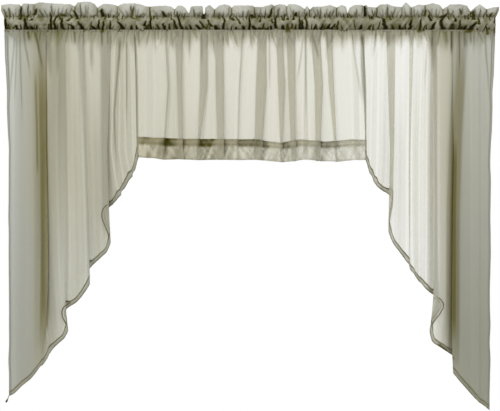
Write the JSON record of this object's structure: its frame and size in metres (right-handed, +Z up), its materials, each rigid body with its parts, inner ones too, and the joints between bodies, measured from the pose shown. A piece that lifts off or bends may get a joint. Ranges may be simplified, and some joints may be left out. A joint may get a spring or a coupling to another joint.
{
  "type": "sheer swag and valance set",
  "caption": "Sheer window set of a left swag, a short gathered valance and a right swag, each with a ruffled header over an open rod pocket and upright folds.",
  "frame": {"origin": "middle of the set's top edge, at the crest line of the ruffled header, in the plane of the rod", "axes": "+X to the right along the rod as seen from the front, +Y from the front towards the window, +Z up"},
  "size_m": [1.1935, 0.0378, 0.98],
  "materials": {
    "gathered_voile": "sheer woven voile, sage beige, gathered in several layers",
    "sheer_voile": "sheer woven voile, sage beige, semi-transparent, slightly crisp"
  },
  "bodies": {
    "root": {"left_swag_heading": "gathered_voile", "valance_heading": "gathered_voile", "right_swag_heading": "gathered_voile", "left_swag_panel": "sheer_voile", "valance_panel": "sheer_voile", "right_swag_panel": "sheer_voile"}
  },
  "joints": []
}
